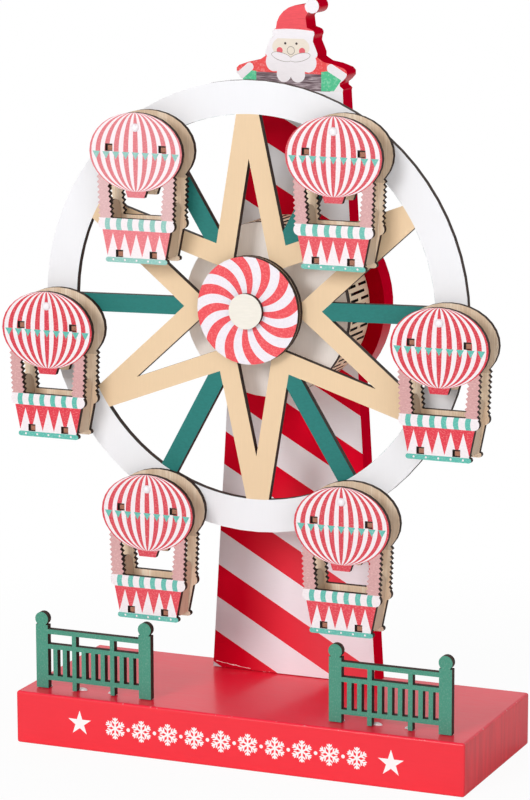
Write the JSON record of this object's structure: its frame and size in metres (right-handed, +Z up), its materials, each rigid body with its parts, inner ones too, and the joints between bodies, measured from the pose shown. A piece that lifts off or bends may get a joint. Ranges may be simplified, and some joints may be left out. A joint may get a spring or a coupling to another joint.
{
  "type": "miniature ferris wheel",
  "caption": "Laser cut wooden tabletop ferris wheel with hanging gondolas, a striped column and a music movement in the drum behind the wheel.",
  "frame": {"origin": "underside of the base, at its middle depth, straight below the wheel's axis", "axes": "+Z up, the wheel's front faces -Y, +X to the right seen from the front"},
  "size_m": [0.214, 0.08, 0.3104],
  "materials": {
    "red_paint": "satin red paint on wood, with a printed front",
    "column_paint": "glossy red edges, candy stripes printed on the front",
    "white_paint": "matt white print and paint",
    "green_paint": "matt green print on laser cut plywood",
    "balloon_print": "matt printed plywood",
    "plywood": "bare plywood, laser browned edges",
    "pale_plywood": "bare pale plywood",
    "candy_print": "red and white print on plywood",
    "steel": "plain steel",
    "brass": "satin brass"
  },
  "bodies": {
    "frame": {"base": "red_paint", "column": "column_paint", "fence_left": "green_paint", "fence_right": "green_paint", "drum_front": "pale_plywood", "drum_wall": "plywood", "movement_frame": "brass", "movement_screw_left": "steel", "movement_screw_right": "steel", "comb": "steel"},
    "wheel": {"wheel": "white_paint", "hub_disc_rear": "pale_plywood", "hub_disc_front": "candy_print", "hub_cap": "pale_plywood", "winding_shaft": "steel", "spring_barrel": "brass"},
    "pin_1": {"gondola_1_pin": "white_paint"},
    "gondola_1": {"gondola_1_front": "balloon_print", "gondola_1_back": "plywood", "gondola_1_shelf": "plywood", "gondola_1_floor": "plywood", "gondola_1_side_left": "plywood", "gondola_1_side_right": "plywood"},
    "pin_2": {"gondola_2_pin": "white_paint"},
    "gondola_2": {"gondola_2_front": "balloon_print", "gondola_2_back": "plywood", "gondola_2_shelf": "plywood", "gondola_2_floor": "plywood", "gondola_2_side_left": "plywood", "gondola_2_side_right": "plywood"},
    "pin_3": {"gondola_3_pin": "white_paint"},
    "gondola_3": {"gondola_3_front": "balloon_print", "gondola_3_back": "plywood", "gondola_3_shelf": "plywood", "gondola_3_floor": "plywood", "gondola_3_side_left": "plywood", "gondola_3_side_right": "plywood"},
    "pin_4": {"gondola_4_pin": "white_paint"},
    "gondola_4": {"gondola_4_front": "balloon_print", "gondola_4_back": "plywood", "gondola_4_shelf": "plywood", "gondola_4_floor": "plywood", "gondola_4_side_left": "plywood", "gondola_4_side_right": "plywood"},
    "pin_5": {"gondola_5_pin": "white_paint"},
    "gondola_5": {"gondola_5_front": "balloon_print", "gondola_5_back": "plywood", "gondola_5_shelf": "plywood", "gondola_5_floor": "plywood", "gondola_5_side_left": "plywood", "gondola_5_side_right": "plywood"},
    "pin_6": {"gondola_6_pin": "white_paint"},
    "gondola_6": {"gondola_6_front": "balloon_print", "gondola_6_back": "plywood", "gondola_6_shelf": "plywood", "gondola_6_floor": "plywood", "gondola_6_side_left": "plywood", "gondola_6_side_right": "plywood"},
    "cylinder": {"music_cylinder": "brass"},
    "governor": {"governor": "steel"}
  },
  "joints": [
    {"name": "wheel_spin", "type": "hinge", "parent": "frame", "child": "wheel", "pos_m": [0, 0, 0.18714], "axis": [0, -1, 0], "continuous": true},
    {"name": "gondola_1_level", "type": "hinge", "parent": "wheel", "child": "pin_1", "pos_m": [0.08632, 0, 0.18925], "axis": [0, -1, 0], "continuous": true},
    {"name": "gondola_1_swing", "type": "hinge", "parent": "pin_1", "child": "gondola_1", "pos_m": [0.08632, 0, 0.18925], "axis": [0, -1, 0], "range_deg": [-25, 25]},
    {"name": "gondola_2_level", "type": "hinge", "parent": "wheel", "child": "pin_2", "pos_m": [0.04133, 0, 0.26295], "axis": [0, -1, 0], "continuous": true},
    {"name": "gondola_2_swing", "type": "hinge", "parent": "pin_2", "child": "gondola_2", "pos_m": [0.04133, 0, 0.26295], "axis": [0, -1, 0], "range_deg": [-25, 25]},
    {"name": "gondola_3_level", "type": "hinge", "parent": "wheel", "child": "pin_3", "pos_m": [-0.04499, 0, 0.26085], "axis": [0, -1, 0], "continuous": true},
    {"name": "gondola_3_swing", "type": "hinge", "parent": "pin_3", "child": "gondola_3", "pos_m": [-0.04499, 0, 0.26085], "axis": [0, -1, 0], "range_deg": [-25, 25]},
    {"name": "gondola_4_level", "type": "hinge", "parent": "wheel", "child": "pin_4", "pos_m": [-0.08632, 0, 0.18503], "axis": [0, -1, 0], "continuous": true},
    {"name": "gondola_4_swing", "type": "hinge", "parent": "pin_4", "child": "gondola_4", "pos_m": [-0.08632, 0, 0.18503], "axis": [0, -1, 0], "range_deg": [-25, 25]},
    {"name": "gondola_5_level", "type": "hinge", "parent": "wheel", "child": "pin_5", "pos_m": [-0.04133, 0, 0.11133], "axis": [0, -1, 0], "continuous": true},
    {"name": "gondola_5_swing", "type": "hinge", "parent": "pin_5", "child": "gondola_5", "pos_m": [-0.04133, 0, 0.11133], "axis": [0, -1, 0], "range_deg": [-25, 25]},
    {"name": "gondola_6_level", "type": "hinge", "parent": "wheel", "child": "pin_6", "pos_m": [0.04499, 0, 0.11344], "axis": [0, -1, 0], "continuous": true},
    {"name": "gondola_6_swing", "type": "hinge", "parent": "pin_6", "child": "gondola_6", "pos_m": [0.04499, 0, 0.11344], "axis": [0, -1, 0], "range_deg": [-25, 25]},
    {"name": "cylinder_spin", "type": "hinge", "parent": "frame", "child": "cylinder", "pos_m": [0, 0.0174, 0.17594], "axis": [0, 0, 1], "continuous": true},
    {"name": "governor_spin", "type": "hinge", "parent": "frame", "child": "governor", "pos_m": [0.013, 0.0097, 0.16024], "axis": [0, 0, 1], "continuous": true}
  ],
  "couplings": [
    {"joint": "gondola_1_level", "follows": "wheel_spin", "ratio": -1},
    {"joint": "gondola_2_level", "follows": "wheel_spin", "ratio": -1},
    {"joint": "gondola_3_level", "follows": "wheel_spin", "ratio": -1},
    {"joint": "gondola_4_level", "follows": "wheel_spin", "ratio": -1},
    {"joint": "gondola_5_level", "follows": "wheel_spin", "ratio": -1},
    {"joint": "gondola_6_level", "follows": "wheel_spin", "ratio": -1},
    {"joint": "cylinder_spin", "follows": "wheel_spin", "ratio": 2},
    {"joint": "governor_spin", "follows": "wheel_spin", "ratio": 24}
  ]
}
